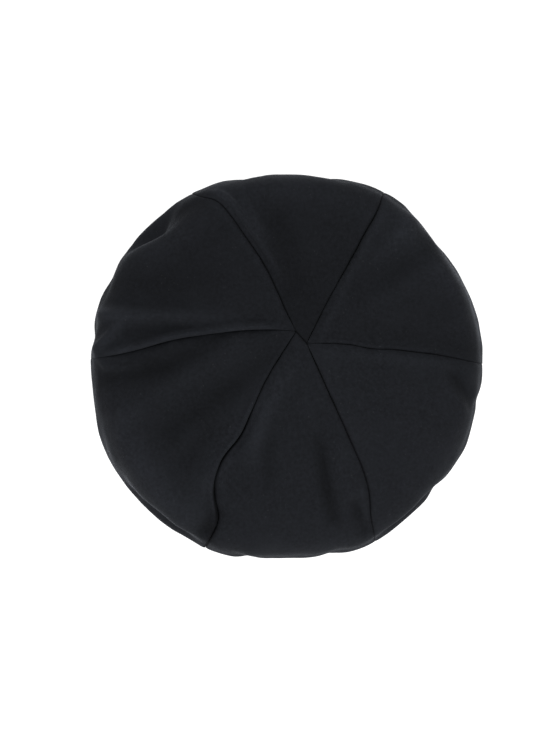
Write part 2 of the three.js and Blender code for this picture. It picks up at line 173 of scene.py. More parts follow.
# Smaller creases, swells and hollows, which only the finished cloth shows.
CREASES = (
    Fold("back_rim_swell", 8, ((-20, 126, 1), (8, 129, 1.5), (30, 127, 1))),
    Fold("back_second_ridge", 3.5, ((-32, 124, 1.2), (-18, 98, 1.3), (-7, 68, 0))),
    Fold("back_left_hollow", 18, ((-122, 56, -2), (-88, 60, -2), (-58, 64, -1.3))),
    Fold(
        "back_left_tuck_lip", 6, ((-110, 76, 0.8), (-93, 86, 1.3), (-79, 92, 1.2), (-64, 92, 0.5))
    ),
    Fold("back_left_tuck_end", 8, ((-92, 105, -1.2), (-76, 111, -3), (-62, 118, -2.4))),
    Fold("back_hollow", 10, ((-6, 104, -1.6), (4, 60, -1.2))),
    Fold("back_right_swell", 7, ((59, 45, 0.6), (105, 70, 1))),
    Fold("back_right_rim_swell", 9, ((73, 84, 0.8), (90, 100, 2.3))),
    Fold("back_right_hollow", 12, ((60, 66, -0.7), (84, 74, -0.6))),
    Fold("right_rim_swell", 7, ((104, 79, 0.8), (114, 66, 1.6), (121, 54, 2.2), (127, 38, 0.6))),
    Fold("right_rim_hollow", 10, ((90, 32, -0.7), (112, 42, -1.2))),
    Fold("right_seam_hollow", 8, ((22, 25, -0.5), (60, 23, -1.2), (108, 18, -1.5), (134, 11, -2))),
    Fold("right_dimple_line", 2.6, ((114, -1, -0.4), (124, -12, -1.1), (133, -24, -0.8))),
    Fold("right_dimple_lip", 3, ((109, -8, 0.3), (119, -20, 0.8), (128, -31, 0.6))),
    Fold("left_ridge_crest", 3.5, ((-133, 36, 1.4), (-101, 35, 1.4), (-79, 36, 1), (-55, 36, 0.4))),
    Fold("left_ridge_hollow", 4.5, ((-130, 43, -1.8), (-100, 42, -1.8), (-70, 43, -1))),
    Fold("left_seam_hollow", 6, ((-114, 25, -1.2), (-80, 28, -1.2), (-55, 30, -0.6))),
    Fold("left_rim_pull", 2.6, ((-137, 12, 1.8), (-128, 19, 1.8), (-117, 31, 1.2))),
    Fold("left_seam_end", 2.6, ((-135, 7, 1.2), (-129, 0, 1.4), (-118, -2, 1.2), (-104, 1, 0.7))),
    Fold("left_rim_fold", 2.5, ((-116, -31, 0.9), (-116, -49, 0.7))),
    Fold("front_left_pull", 6, ((-57, -45, -1.2), (-71, -68, -1))),
    Fold("front_left_rim_swell", 11, ((-118, -40, 1.8), (-102, -70, 3.2), (-76, -108, 2.8))),
    Fold("front_left_shoulder", 10, ((-45, -60, 0.8), (-66, -100, 1.6))),
    Fold("front_hollow", 5, ((-11, -38, -0.5), (-14, -60, -1.8), (-13, -80, -1.3), (-12, -98, 0))),
    Fold(
        "front_crease_line", 2.2, ((22, -48, -0.3), (26, -70, -1.3), (29, -88, -1.1), (32, -101, 0))
    ),
    Fold("front_right_crease_line", 2.4, ((46, -92, 0), (51, -103, -0.9), (56, -116, -0.4))),
    Fold("front_second_ridge", 6, ((39, -57, 0.7), (45, -92, 1))),
)

# Where one side of a seam stands up: side is -1 for the gore before the seam and 1 for the one
# after it, reach0 and reach1 are the shares of the way out where it starts and ends, and away is
# how far from the seam its crest lies.
Lip = namedtuple("Lip", "seam side reach0 reach1 height away breadth")
LIPS = (
    Lip("right", -1, 0.02, 0.9, 1, 5.2, 4),
    Lip("right", 1, 0.02, 0.65, 0.6, 2.3, 1.6),
    Lip("back_right", -1, 0.02, 0.45, 1.4, 6, 3.5),
    Lip("back_right", -1, 0.3, 0.98, 1.4, 4.2, 3.2),
    Lip("back_left", -1, 0.02, 0.4, 0.4, 2.3, 1.5),
    Lip("back_left", -1, 0.3, 0.99, 2.5, 7.4, 2.5),
    Lip("back_left", -1, 0.4, 0.99, -0.7, 3.2, 1.8),
    Lip("back_left", 1, 0.02, 0.95, 0.7, 2.8, 2.2),
    Lip("left", -1, 0.03, 0.98, 3.3, 2.7, 2.6),
    Lip("front_left", -1, 0.02, 0.4, 0.6, 2.8, 2),
    Lip("front_left", -1, 0.28, 0.95, 2.3, 3, 2.6),
    Lip("front_left", 1, 0.05, 0.6, 1.7, 10, 6.5),
    Lip("front_left", 1, 0.25, 0.7, -0.7, 3.4, 2),
    Lip("front_right", -1, 0.6, 0.97, 1.2, 4.8, 3),
    Lip("front_right", 1, 0.1, 0.95, 0.5, 5, 4),
)

# How wide and how deep each seam's groove is, near the crown's tip and farther out, and the gap
# at the tip itself.
Groove = namedtuple("Groove", "seam width depth outer_width outer_depth")
GROOVES = (
    Groove("right", 0.5, 0.28, 0.6, 0.34),
    Groove("back_right", 0.6, 0.32, 0.9, 0.5),
    Groove("back_left", 0.65, 0.4, 0.65, 0.38),
    Groove("left", 0.45, 0.22, 0.4, 0.18),
    Groove("front_left", 0.75, 0.42, 1.15, 1),
    Groove("front_right", 0.8, 0.45, 0.78, 0.42),
)
TIP_GROOVE = Groove("tip", 0.9, 0.6, 0.9, 0.6)
OUTER_GROOVE_RUN = (0.35 * TOP_END, 0.6 * TOP_END)  # the runs over which a groove changes
RIM_GROOVE = 0.3  # how deep the grooves are where the cloth rolls over the rim, against the rest
RIM_GROOVE_RUN = (TOP_END - 0.02, RIM - 0.04)  # the runs over which they get so shallow
GROOVE_SHADE_DEPTH = 0.12  # how many thicknesses down a groove the faces take the wool with no sheen, as painted shade

# Painted light and shade in the colour: how much darker it is painted in a groove for each
# thickness of depth, as painted shade, how dark it gets there, and how much lighter it is
# painted for each mm that a ridge stands up, as a painted highlight, or darker in a hollow,
# as painted shade.
GROOVE_TONE = 1.1
GROOVE_DARK = 0.5
RIDGE_TONE = 0.13
RIDGE_TONE_RANGE = (0.6, 1.45)

# A painted sheen: how much lighter the colour is painted where the top rolls down to the rim at
# its back and left, about the direction RIM_TONE_DEG. It sets in between two cosines from that
# direction and two shares of the way out.
RIM_TONE = 0.24
RIM_TONE_DEG = 132
RIM_TONE_FACING = (-0.7, 0)
RIM_TONE_REACH = (0.7, 0.9)

# Painted light and shade: how light each gore is painted near the tip and at the rim, as light
# falls on it, the back gore darkest by its tip. The one turns to the other between the two shares
# of the way out given below.
GORE_SHADING = {
    "gore_back_right": (0.99, 1),
    "gore_back": (0.73, 0.94),
    "gore_back_left": (0.96, 0.92),
    "gore_front_left": (0.97, 0.9),
    "gore_front": (1.03, 1.05),
    "gore_front_right": (1.1, 1.08),
}
GORE_SHADING_REACH = (0.1, 0.9)

# Loose ripples of the cloth: cells of smooth noise round the hat, their length along the run, and
# height.
Ripple = namedtuple("Ripple", "around_cells length height seed")
RIPPLES = (
    Ripple(5, 60, 0.7, 11),
    Ripple(12, 34, 0.3, 12),
)
RIPPLE_RADII = (10, 90)  # they set in between these distances from the middle

# Dapples of the cloth, the same in all directions.
Dapple = namedtuple("Dapple", "size height seed")
DAPPLES = (
    Dapple(34, 0.5, 21),
    Dapple(13, 0.16, 22),
    Dapple(5, 0.045, 23),
)
NOISE_CELLS = 64  # the noise repeats after so many cells

# The section of a sewn edge: x from the seam and y up from the cloth's face, for its outer and
# inner faces, as shares of the cloth's thickness. The first rows are the seam allowance, turned
# in.
EdgeRow = namedtuple("EdgeRow", "outer_x outer_y inner_x inner_y")
EDGE = (
    EdgeRow(-0.02, -3.2, 1.10, -3.2),
    EdgeRow(-0.02, -2.4, 1.10, -2.5),
    EdgeRow(-0.01, -1.7, 1.10, -2.0),
    EdgeRow(0.03, -1.2, 1.12, -1.6),
    EdgeRow(0.16, -0.86, 1.20, -1.3),
    EdgeRow(0.40, -0.54, 1.40, -1.14),
    EdgeRow(0.76, -0.28, 1.70, -1.06),
    EdgeRow(1.25, -0.12, 2.10, -1.0),
    EdgeRow(1.9, -0.03, 2.55, -1.0),
    EdgeRow(2.6, 0, 3.10, -1.0),
)
EDGE_TURN = 3  # the first rows of the edge, which are its turned-in allowance
EDGE_REACH = 3.5  # how far in from a seam its section goes, in thicknesses
EDGE_SPREAD = 1.9  # how many times as wide the widest edge may be
EDGE_ROOM = 2.1  # a gore needs room for two such edges and a little more, or they are squeezed
CELL = 1.35  # the usual size of a face of the cloth, in mm
STEP = 0.002  # how far apart the form is read to find its normal
TIP_FLAT = 0.02  # the share of the run, from the tip, over which the normal turns upright
TINY = 1e-9


# ---- Form ----
# place goes anticlockwise round the hat from 0 to 6, whole at each seam. run goes along the
# cloth, from 0 at the tip, over the rim, to 1 at the band.


def smoothstep(x, low, high):
    t = np.clip((x - low) / (high - low), 0, 1)
    return t * t * (3 - 2 * t)


def spline(a, b, c, d, t):
    return b + t / 2 * (c - a + t * (2 * a - 5 * b + 4 * c - d + t * (3 * (b - c) + d - a)))


def smooth(values, x, rows=None):
    """A smooth curve through evenly spaced values, x from 0 at the first to 1 at the last. With
    rows, values is a table and each x reads its own row of it."""
    values = np.atleast_2d(np.asarray(values, float))
    first, last = 2 * values[:, :1] - values[:, 1:2], 2 * values[:, -1:] - values[:, -2:-1]
    padded = np.concatenate([first, values, last], axis=1)
    spans = values.shape[1] - 1
    span = np.clip(np.floor(x * spans), 0, spans - 1).astype(int)
    rows = np.zeros_like(span) if rows is None else rows
    return spline(*(padded[rows, span + i] for i in range(4)), x * spans - span)


def column(name):
    return [getattr(row, name) for row in RUN]


def outline_points():
    points = []
    for seam, gore in zip(SEAMS, GORES):
        for row in (seam, gore):
            angle = math.radians(row.deg)
            radius = CROWN_WIDTH / 2 + row.proud
            points.append((radius * math.cos(angle), radius * math.sin(angle)))
    return np.array(points)


OUTLINE = outline_points()
SEAM_TIP = np.array([TIPS[seam.tip] for seam in SEAMS], float)
SEAM_BOW = np.array([(0, *seam.bow, 0) for seam in SEAMS], float)


def outline_at(place):
    x = place / SIDES % 1 * len(OUTLINE)
    span = np.floor(x).astype(int)
    around = [OUTLINE[(span + i) % len(OUTLINE)] for i in (-1, 0, 1, 2)]
    return spline(*around, (x - span)[..., None])


def band_radius(angle):
    share = 1
    for waver in BAND_WAVERS:
        share = share + waver.share * np.cos(waver.lobes * angle - math.radians(waver.start_deg))
    return BAND_RADIUS * share


def turn(start, end):
    """The angle from one direction to another, in radians from -pi to pi."""
    return (end - start + math.pi) % (2 * math.pi) - math.pi


def seam_bow(index, reach):
    chord = outline_at(index.astype(float)) - SEAM_TIP[index % SIDES]
    side = np.stack([-chord[..., 1], chord[..., 0]], axis=-1)
    side /= np.linalg.norm(side, axis=-1, keepdims=True)
    return side * smooth(SEAM_BOW, reach, index % SIDES)[..., None]


def form(place, run):
    """The smooth form, before its gores puff out and its folds are laid in."""
    rim = outline_at(place)
    reach = smooth(column("reach"), run)
    angle = np.arctan2(rim[..., 1], rim[..., 0])
    index = np.floor(place).astype(int)
    across = (place - index)[..., None]
    tip = SEAM_TIP[index % SIDES] * (1 - across) + SEAM_TIP[(index + 1) % SIDES] * across
    bow = seam_bow(index, reach) * (1 - across) + seam_bow(index + 1, reach) * across
    top = tip + (rim - tip) * reach[..., None] + bow
    inner = (band_radius(angle) + BAND_FOLD / 2)[..., None] * rim
    inner = inner / np.linalg.norm(rim, axis=-1, keepdims=True)
    below = inner + (rim - inner) * reach[..., None]
    flat = np.where((run < RIM)[..., None], top, below)
    radius = np.linalg.norm(flat, axis=-1)
    depth = 0
    for tuck in TUCKS:
        away = np.abs(turn(math.radians(tuck.deg), angle))
        share = np.minimum(1, away / math.radians(tuck.half_deg))
        pull = tuck.depth * smooth(column("tuck"), run) + tuck.under * smooth(column("under"), run)
        depth = depth + pull * np.cos(share * math.pi / 2) ** 2
    flat = flat * ((radius - depth) / np.maximum(radius, TINY))[..., None]
    backness = (1 + np.sin(angle)) / 2
    sag = np.array([gore.sag for gore in GORES])[index % SIDES] * np.sin(math.pi * across[..., 0])
    height = smooth(column("front"), run) * (1 - backness) + smooth(column("back"), run) * backness
    return np.concatenate([flat, (height - sag * smooth(column("sag"), run))[..., None]], axis=-1)


def fold_share(offset, line, width):
    """How far along a line an offset from its start lies, and how much of a fold on it shows
    there."""
    along = np.clip((offset @ line) / (line @ line), 0, 1)
    off = np.linalg.norm(offset - along[..., None] * line, axis=-1)
    return along, np.exp(-((off / width) ** 2))


def top_folds(points):
    """The height of the folds in the top. Each fold counts by the nearest stretch of its path."""
    total = 0
    for fold in FOLDS + CREASES:
        most = np.zeros(points.shape[:-1])
        height = np.zeros(points.shape[:-1])
        for (x0, y0, lift0), (x1, y1, lift1) in zip(fold.path, fold.path[1:]):
            offset, line = points[..., :2] - np.array([x0, y0]), np.array([x1 - x0, y1 - y0])
            along, share = fold_share(offset, line, fold.width)
            nearer = share > most
            most = np.where(nearer, share, most)
            height = np.where(nearer, share * (lift0 + (lift1 - lift0) * along), height)
        total = total + height
    return total


def side_folds(points):
    radius = CROWN_WIDTH / 2
    angle = np.arctan2(points[..., 1], points[..., 0])
    lift = 0
    for fold in SIDE_FOLDS:
        line = np.array([radius * math.radians(fold.deg1 - fold.deg0), fold.z1 - fold.z0])
        sideways = radius * turn(math.radians(fold.deg0), angle)
        offset = np.stack([sideways, points[..., 2] - fold.z0], axis=-1)
        lift = lift + fold.lift * fold_share(offset, line, fold.width)[1]
    return lift


def soft_noise(points, seed):
    """Smooth noise from -1 to 1 over a lattice of unit cells."""
    lattice = np.random.default_rng(seed).uniform(-1, 1, (NOISE_CELLS,) * 3)
    low = np.floor(points).astype(int)
    t = smoothstep(points - low, 0, 1)
    total = 0
    for corner in np.ndindex(2, 2, 2):
        weight = np.prod(np.where(corner, t, 1 - t), axis=-1)
        at = (low + corner) % NOISE_CELLS
        total = total + weight * lattice[at[..., 0], at[..., 1], at[..., 2]]
    return total


def ripple_lift(ripple, angle, length):
    """A ripple's height in the direction angle, so far along the cloth."""
    ring = ripple.around_cells
    at = (ring * np.cos(angle), ring * np.sin(angle), length / ripple.length)
    return ripple.height * soft_noise(np.stack(np.broadcast_arrays(*at), axis=-1), ripple.seed)


def loose_cloth(points, run):
    """The small play of the cloth between its folds."""
    radius = np.linalg.norm(points[..., :2], axis=-1)
    angle = np.arctan2(points[..., 1], points[..., 0])
    lift = 0
    for ripple in RIPPLES:
        height = ripple_lift(ripple, angle, run * CLOTH_RUN)
        lift = lift + height * smoothstep(radius, *RIPPLE_RADII)
    for dapple in DAPPLES:
        lift = lift + dapple.height * soft_noise(points / dapple.size, dapple.seed)
    return lift


def normals(surface, place, run):
    """The outward normal of a surface given as a function of place and run, upright at the
    tips."""
    high = np.minimum(1, run + STEP)
    low = np.minimum(high - STEP, np.maximum(STEP, run - STEP))
    outward = surface(place, high) - surface(place, low)
    sideways = surface(place + STEP, run) - surface(place - STEP, run)
    normal = np.cross(outward, sideways)
    normal /= np.linalg.norm(normal, axis=-1, keepdims=True)
    upright = (1 - smoothstep(run, 0, TIP_FLAT))[..., None]
    normal = normal * (1 - upright) + np.array([0, 0, 1]) * upright
    return normal / np.linalg.norm(normal, axis=-1, keepdims=True)


def fold_height(points, run):
    """The height of the folds in the top and the side."""
    off_top = smoothstep(run, TOP_END, RIM)
    on_side = off_top * (1 - smoothstep(run, RIM, SIDE_END))
    return (1 - off_top) * top_folds(points) + on_side * side_folds(points)


def cloth(place, run):
    """The face of the cloth, with its puff and folds, before its edges are turned in."""
    points = form(place, run)
    index = np.floor(place).astype(int)
    full = np.array([gore.puff for gore in GORES])[index % SIDES]
    puff = full * np.sin(math.pi * (place - index)) ** PUFF_FULLNESS * smooth(column("puff"), run)
    lift = puff + fold_height(points, run)
    lift = lift + loose_cloth(points, run) * (1 - smoothstep(run, SIDE_END, 1))
    return points + normals(form, place, run) * lift[..., None]


# ---- Cut cloth ----

BAND_HEIGHT = 24
BAND_FOLD = 3  # the folded band's whole thickness
CLOTH_RUN = 250  # about how long a gore's cloth is, tip to band

# How the edges of a seam pull in: puckers of this height, length and breadth, dying out this far
# from the seam. Each seam reads its own place in the noise, and each side of it its own noise.
PUCKER_HEIGHT = 0.32
PUCKER_LENGTH = 7
PUCKER_BREADTH = 14
PUCKER_REACH = 5.5
PUCKER_SEAM_STEP = 3.5
PUCKER_SEED = 31
LIP_FADE = 0.15  # the share of the way out over which a lip rises, and over which it dies away
PLAY_LENGTHS = (4, 16)  # puckers and lips set in between these distances from the tip

RUN_SAMPLES = 900  # how finely a gore's length is measured
WIDTH_SAMPLES = 13  # and its width
LEAST_LENGTH = 0.01  # no row lies nearer the tip than this
LEAST_WIDTH = 0.02  # and none is narrower than this
PAST_SEAM = 0.001  # how far past a seam a gore's edge may be read, as a share of its width


def along_run(index):
    """Evenly spaced runs of a gore's middle, and how far along the cloth each lies, in mm."""
    run = np.linspace(0, 1, RUN_SAMPLES)
    points = form(np.full(RUN_SAMPLES, index + 0.5), run)
    steps = np.linalg.norm(np.diff(points, axis=0), axis=-1)
    return run, np.concatenate([[0], np.cumsum(steps)])


def gore_widths(index, run):
    """How wide a gore is from seam to seam at each run, in mm."""
    places = index + np.linspace(0, 1, WIDTH_SAMPLES)
    points = form(*np.meshgrid(places, run, indexing="ij"))
    return np.linalg.norm(np.diff(points, axis=0), axis=-1).sum(axis=0)


def edge_column(name):
    return np.array([getattr(row, name) for row in EDGE], float)


def gore_rows(index, thickness):
    """For a gore's outer and then its inner face, the runs of its rows, how far along the cloth
    each row lies, and how far it is turned down at the tip."""
    run, length = along_run(index)
    edge = EDGE_REACH * TIP_GROOVE.width * thickness
    far = np.linspace(edge, length[-1], round(length[-1] / CELL))
    faces = []
    for side, level in (("outer", 0), ("inner", 1)):
        near, down = edge_column(side + "_x") * thickness, edge_column(side + "_y") * thickness
        if SEAMS[index].tip != SEAMS[(index + 1) % SIDES].tip:
            near = near * TIP_GROOVE.width
            down[EDGE_TURN:] *= TIP_GROOVE.depth if side == "outer" else 1
        from_tip = np.maximum(LEAST_LENGTH, np.concatenate([near, far]))
        turned = np.concatenate([down + level * thickness, 0 * far])
        faces.append((np.interp(from_tip, length, run), from_tip, turned))
    return faces


def groove_shape(seam, run):
    """How wide and how deep a seam's groove is at each run."""
    groove = GROOVES[seam]
    outer = smoothstep(run, *OUTER_GROOVE_RUN)
    over_rim = smoothstep(run, *RIM_GROOVE_RUN)
    width = groove.width + (groove.outer_width - groove.width) * outer
    depth = groove.depth + (groove.outer_depth - groove.depth) * outer
    return width, depth * (1 - (1 - RIM_GROOVE) * over_rim)


def section_loop(widths, thickness, cells, grooves):
    """The section of a gore's cloth at each row, once round its outer and inner faces: x from the
    first seam and y up. Its first half lies over its second, in reverse. grooves has the width
    and depth of the first seam's groove and of the second's."""
    squeeze = np.minimum(1, widths / (EDGE_ROOM * EDGE_REACH * EDGE_SPREAD * thickness))

    def face(name, level):
        """Across one face, from the first seam to the second."""
        sides = []
        for width, depth in grooves:
            x = edge_column(name + "_x")[:, None] * thickness * squeeze * width
            y = np.broadcast_to(edge_column(name + "_y")[:, None], x.shape).copy()
            if name == "outer":
                y[EDGE_TURN:] *= depth
            sides.append((x, y * thickness))
        (x0, y0), (x1, y1) = sides
        start, end = (EDGE_REACH * thickness * squeeze * width for width, _ in grooves)
        share = np.linspace(0, 1, cells + 1)[:, None]
        middle = start + (widths - start - end) * share
        x = np.concatenate([x0, middle, widths - x1[::-1]])
        y = np.concatenate([y0, level * thickness + 0 * middle, y1[::-1]])
        return x, y

    (outer_x, outer_y), (inner_x, inner_y) = face("outer", 0), face("inner", -1)
    return np.concatenate([outer_x, inner_x[::-1]]), np.concatenate([outer_y, inner_y[::-1]])


def seam_play(seam, from_seam, along, reach, side):
    """The puckers and lips beside a seam, which fade away from it."""
    fade = np.exp(-((from_seam / PUCKER_REACH) ** 2))
    own_place = np.full_like(along, PUCKER_SEAM_STEP * seam)
    at = np.stack([along / PUCKER_LENGTH, from_seam / PUCKER_BREADTH, own_place], axis=-1)
    lift = PUCKER_HEIGHT * fade * soft_noise(at, PUCKER_SEED + side)
    for lip in LIPS:
        if SEAMS[seam].name == lip.seam and lip.side == side:
            window = smoothstep(reach, lip.reach0, lip.reach0 + LIP_FADE)
            window = window * (1 - smoothstep(reach, lip.reach1 - LIP_FADE, lip.reach1))
            away = (from_seam - lip.away) / lip.breadth
            lift = lift + lip.height * window * np.exp(-(away**2))
    return lift


def both_faces(outer, inner, lines):
    """A value for each row of the cloth's outer face, over so many lines, and of its inner face
    over as many more."""
    return np.concatenate([np.broadcast_to(face, (lines, len(face))) for face in (outer, inner)])


def painted_shading(index, spots, rows, reach, play, sunk):
    """Painted light and shade on a gore's colour: lighter on its ridges and darker in its hollows
    and grooves, lighter where the top rolls down to the rim at its back and left, and lighter or
    darker gore by gore as light falls on it."""
    # Painted highlight on ridges and painted shade in hollows.
    ridges = np.clip(1 + RIDGE_TONE * (fold_height(spots, rows) + play), *RIDGE_TONE_RANGE)
    # Painted shade, darker down the grooves.
    grooves = np.clip(1 + GROOVE_TONE * sunk, GROOVE_DARK, 1)
    # Painted sheen, lighter where the top rolls down to the rim at the back and left.
    facing = np.cos(np.arctan2(spots[..., 1], spots[..., 0]) - math.radians(RIM_TONE_DEG))
    rolled = smoothstep(facing, *RIM_TONE_FACING) * smoothstep(reach, *RIM_TONE_REACH)
    # Painted light and shade, each gore lighter or darker as light falls on it.
    near, far = GORE_SHADING[GORES[index].name]
    gore_shading = near + (far - near) * smoothstep(reach, *GORE_SHADING_REACH)
    return ridges * grooves * (1 + RIM_TONE * rolled) * gore_shading


def gore_cloth(index, thickness):
    """The points of a gore's sewn cloth and where each lies on the flat cut, both in mm, its
    painted light and shade and how many thicknesses it is sunk, then the size and area of the flat
    cut."""
    (outer_run, along, outer_turned), (inner_run, _, inner_turned) = gore_rows(index, thickness)
    widths = np.maximum(LEAST_WIDTH, gore_widths(index, outer_run))
    cells = round(widths.max() / CELL)
    after = (index + 1) % SIDES
    grooves = [groove_shape(seam, outer_run) for seam in (index, after)]
    x, y = section_loop(widths, thickness, cells, grooves)
    half = len(x) // 2
    rows = both_faces(outer_run, inner_run, half)
    turned = both_faces(outer_turned, inner_turned, half)
    place = index + np.clip(x / widths, -PAST_SEAM, 1 + PAST_SEAM)
    lengths = np.broadcast_to(along, x.shape)
    reach = np.where(rows < RIM, smooth(column("reach"), rows), 1)
    play = seam_play(index, x, lengths, reach, 1) + seam_play(after, widths - x, lengths, reach, -1)
    play = play * smoothstep(lengths, *PLAY_LENGTHS) * (1 - smoothstep(rows, RIM, SIDE_END))
    points = cloth(place, rows) + normals(cloth, place, rows) * (y + play + turned)[..., None]
    cut = np.stack([x - widths / 2, lengths], axis=-1)
    sunk = np.where(np.arange(len(x))[:, None] < half, y + turned, 0) / thickness
    tone = painted_shading(index, form(place, rows), rows, reach, play, sunk)
    area = np.sum((widths[1:] + widths[:-1]) / 2 * np.diff(along))
    closed = [close(value) for value in (points, cut, tone[..., None], sunk[..., None])]
    return *closed, (widths.max(), along[-1]), area


def close(values):
    """Closes the cloth: a row at each end where its outer and inner faces meet, and the first
    line again."""
    first = (values[:, :1] + values[::-1][:, :1]) / 2
    last = (values[:, -1:] + values[::-1][:, -1:]) / 2
    values = np.concatenate([first, values, last], axis=1)
    return np.concatenate([values, values[:1]])


BAND_CELL = 1.5
BAND_BEND_ROWS = 13  # round the fold at its foot
BAND_RIPPLE = Ripple(9, 9, 0.35, 41)  # how far its faces wander in and out
BAND_JOIN_DEG = 93  # where the band's two ends are sewn together
BAND_JOIN_DEPTH = 0.9
BAND_JOIN_WIDTH = 1.3
BAND_JOIN_SEW = 12  # how much of the strip its two ends take up


def band_section(thickness):
    """The folded band's section, once round: how far out from its inner face and how high each
    point is, and how far along the strip's width from its top edge."""
    middle = BAND_FOLD / 2
    height = BAND_HEIGHT - middle
    straight = np.linspace(0, height, round(height / BAND_CELL) + 1)
    bend = np.linspace(0, math.pi, BAND_BEND_ROWS)[1:-1]

    def layer(radius):
        """Down the outer side, round the fold and up the inner side, so far from the middle."""
        sides = [middle + side * radius + 0 * straight for side in (1, -1)]
        out = [sides[0], middle + radius * np.cos(bend), sides[1]]
        up = [BAND_HEIGHT - straight, middle - radius * np.sin(bend), middle + straight]
        return np.array([np.concatenate(out), np.concatenate(up)])

    outside, inside = layer(middle), layer(middle - thickness)
    run = np.concatenate([[0], np.cumsum(np.linalg.norm(np.diff(outside, axis=1), axis=0))])
    section = np.concatenate([outside, inside[:, ::-1], outside[:, :1]], axis=1)
    along = np.concatenate([run, run[::-1], run[:1]])
    return section[:, ::-1], along[::-1], run[-1]


def band_cloth(thickness):
    """The points of the folded band, and where each lies on the flat strip, both in mm."""
    (out, up), along, width = band_section(thickness)
    out, up = out[:, None], up[:, None]
    join = math.radians(BAND_JOIN_DEG)
    angle = np.linspace(0, 2 * math.pi, round(HEAD_GIRTH / BAND_CELL) + 1) + join
    away = turn(join, angle) * BAND_RADIUS / BAND_JOIN_WIDTH
    dent = BAND_JOIN_DEPTH * np.exp(-(away**2)) * np.sign(out - BAND_FOLD / 2)
    radius = band_radius(angle) + out + ripple_lift(BAND_RIPPLE, angle, up) - dent
    points = np.stack([radius * np.cos(angle), radius * np.sin(angle), up + 0 * radius], axis=-1)
    cut = np.stack(np.broadcast_arrays(BAND_RADIUS * angle, along[:, None]), axis=-1)
    return points, cut, (HEAD_GIRTH + BAND_JOIN_SEW, width)


# ---- Shared work ----

WELD = 0.000002  # points closer than this, in metres, are one


def flat_cloth(name, columns, rows):
    """A flat grid of cloth, ready to be shaped."""
    bpy.ops.object.select_all(action="DESELECT")
    bpy.ops.mesh.primitive_grid_add(x_subdivisions=rows - 1, y_subdivisions=columns - 1, size=1)
    piece = bpy.context.object
    piece.name = piece.data.name = name
    return piece


def face_means(values):
    """The mean of every face's four corners, from a grid of one value to a point."""
    values = (values[1:] + values[:-1]) / 2
    return (values[:, 1:] + values[:, :-1]) / 2


def shape_cloth(name, points, cut, materials, tone=None, sunk=None):
    """A closed piece of cloth. points holds its faces' points and cut where each lies on the flat
    cloth, both in mm and folded round on themselves. tone is its painted light and shade. Faces
    that are sunk more than so many thicknesses down a groove take the second material, a copy of
    the wool with no sheen: painted shade in the grooves."""
    piece = flat_cloth(name, *points.shape[:2])
    mesh = piece.data
    mesh.vertices.foreach_set("co", (points * MM).astype(np.float32).ravel())
    corners = np.empty(len(mesh.loops), dtype=np.int32)
    mesh.loops.foreach_get("vertex_index", corners)
    flat = (cut * MM).astype(np.float32).reshape(-1, 2)[corners]
    mesh.uv_layers.active.data.foreach_set("uv", flat.ravel())
    lightness = mesh.attributes.new("tone", "FLOAT", "POINT")
    tones = np.ones(len(mesh.vertices)) if tone is None else tone.ravel()
    lightness.data.foreach_set("value", tones.astype(np.float32))
    mesh.materials.clear()
    for material in materials:
        mesh.materials.append(material)
    if sunk is not None:
        # Faces deep in a groove take the wool with no sheen: painted shade.
        groove_shade = (face_means(sunk[:, :, 0]) < -GROOVE_SHADE_DEPTH).astype(np.int32)
        mesh.polygons.foreach_set("material_index", groove_shade.ravel())
    bpy.ops.object.mode_set(mode="EDIT")
    bpy.ops.mesh.select_all(action="SELECT")
    bpy.ops.mesh.remove_doubles(threshold=WELD)
    bpy.ops.object.mode_set(mode="OBJECT")
    bpy.ops.object.shade_smooth()
    mesh.update()
    return piece


# ---- Materials ----

# Layers of noise in the wool, read from a place moved by offset. scale is in cells to the metre.
Noise = namedtuple("Noise", "scale detail roughness offset")
FUZZ = Noise(1500, 3, 0.65, (0, 0, 0))
CLUMPS = Noise(420, 3, 0.6, (3, 1, 5))
PATCHES = Noise(38, 2, 0.5, (7, 2, 1))
STRANDS = Noise(900, 2, 0.6, (2, 9, 0))
LINT_PATCHES = Noise(60, 2, 0.6, (5, 5, 5))

# How a layer shades the wool: as its noise goes from low to high, up to most of a colour that is
# tint times the cloth's shows.
Shade = namedtuple("Shade", "low high most tint")
CLUMP_SHADE = Shade(0.3, 0.7, 1, 1.3)
PATCH_SHADE = Shade(0.3, 0.7, 0.4, 1.35)
STRAND_SHADE = Shade(0.62, 0.8, 0.5, 2.2)
DEEP_TINT = 0.72  # the cloth's colour between its clumps

TWILL = {"Scale": 420, "Distortion": 2.4, "Detail": 2, "Detail Scale": 2.2}
TWILL_TURN = math.radians(58)
FIBRE_STRETCH = (1, 0.16, 1)
FIBRE_TURN = 0.5  # in radians

# Specks of lint, LINT_SCALE cells to the metre. Each is a dot that fades in from the first distance
# to the second of LINT_EDGE, and dots show only in patches, as a noise goes from the first value to
# the second of LINT_RARITY. LINT_SHARE is how much of LINT_COLOUR they show.
LINT_SCALE = 240
LINT_EDGE = (0.14, 0.06)
LINT_RARITY = (0.5, 0.62)
LINT_SHARE = 0.3
LINT_COLOUR = (0.035, 0.036, 0.038, 1)

# How far the fuzz, the clumps and the twill stand out of the cloth, against one another.
FUZZ_RELIEF = 0.5
CLUMP_RELIEF = 0.8
TWILL_RELIEF = 0.35
RELIEF = {"Strength": 0.6, "Distance": 0.0003}

WOOL_SURFACE = {
    "Roughness": 0.95,
    "Specular IOR Level": 0.08,
    "Sheen Roughness": 0.3,
    "Sheen Tint": (0.75, 0.8, 0.9, 1),
}
FLOOR_SURFACE = {"Roughness": 1, "Specular IOR Level": 0, "Emission Color": (1, 1, 1, 1)}

# A Mix node's colour sockets share their names with its other sockets, so they are picked by
# their places.
MIX_SHARE, MIX_FIRST, MIX_SECOND, MIX_RESULT = 0, 6, 7, 2


